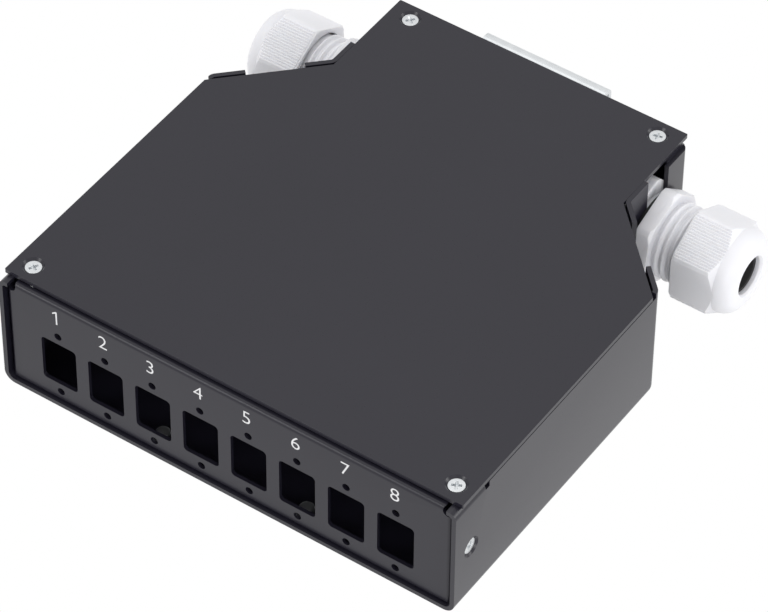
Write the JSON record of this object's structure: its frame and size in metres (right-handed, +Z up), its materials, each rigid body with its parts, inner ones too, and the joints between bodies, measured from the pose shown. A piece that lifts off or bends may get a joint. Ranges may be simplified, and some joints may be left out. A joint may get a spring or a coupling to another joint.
{
  "type": "din rail fibre box",
  "caption": "Black sheet-metal fibre termination box with a row of adapter cut-outs, two cable glands and a rear clip for 35 mm rail.",
  "frame": {"origin": "middle of the clip's flat rear face, at half the height of a 35 mm rail held in the clip", "axes": "+Z up through the cover, +Y to the rear towards the rail, +X to the right seen from the front panel"},
  "size_m": [0.1434, 0.1385, 0.0411],
  "materials": {
    "black_paint": "satin",
    "grey_plastic": "satin",
    "black_rubber": "matte",
    "zinc_plate": "satin",
    "white_plastic": "satin"
  },
  "bodies": {
    "box": {"base_tray": "black_paint", "front_panel": "black_paint", "cover": "black_paint", "cover_screws": "zinc_plate", "panel_screws": "zinc_plate", "panel_studs": "zinc_plate", "rail_clip": "zinc_plate", "latch_spring": "zinc_plate", "clip_screws": "zinc_plate", "clip_nuts": "zinc_plate", "tray_standoffs": "zinc_plate", "splice_tray": "white_plastic", "splice_holder": "white_plastic", "tray_screws": "zinc_plate", "left_gland_body": "grey_plastic", "left_gland_lock_nut": "grey_plastic", "left_gland_washer": "black_rubber", "right_gland_body": "grey_plastic", "right_gland_lock_nut": "grey_plastic", "right_gland_washer": "black_rubber"},
    "rail_latch": {"rail_latch": "zinc_plate"},
    "left_seal": {"left_gland_seal": "black_rubber"},
    "left_cap_nut": {"left_gland_cap_nut": "grey_plastic"},
    "right_seal": {"right_gland_seal": "black_rubber"},
    "right_cap_nut": {"right_gland_cap_nut": "grey_plastic"}
  },
  "joints": [
    {"name": "left_cap_turn", "type": "hinge", "parent": "left_seal", "child": "left_cap_nut", "pos_m": [-0.0557, -0.0177, 0.0009], "axis": [-1, 0, 0], "range_deg": [-180, 1080]},
    {"name": "left_seal_slide", "type": "slide", "parent": "box", "child": "left_seal", "axis": [-1, 0, 0], "range_m": [-0.001, 0.006]},
    {"name": "right_cap_turn", "type": "hinge", "parent": "right_seal", "child": "right_cap_nut", "pos_m": [0.0557, -0.0177, 0.0009], "axis": [1, 0, 0], "range_deg": [-180, 1080]},
    {"name": "right_seal_slide", "type": "slide", "parent": "box", "child": "right_seal", "axis": [1, 0, 0], "range_m": [-0.001, 0.006]},
    {"name": "latch_slide", "type": "slide", "parent": "box", "child": "rail_latch", "axis": [0, 0, -1], "range_m": [0, 0.003], "stiffness_N_per_m": 2500, "springref_m": -0.001, "deforming": ["latch_spring"]}
  ],
  "couplings": [
    {"joint": "left_cap_turn", "follows": "left_seal_slide", "rad_per_m": 3141.6},
    {"joint": "right_cap_turn", "follows": "right_seal_slide", "rad_per_m": 3141.6}
  ]
}
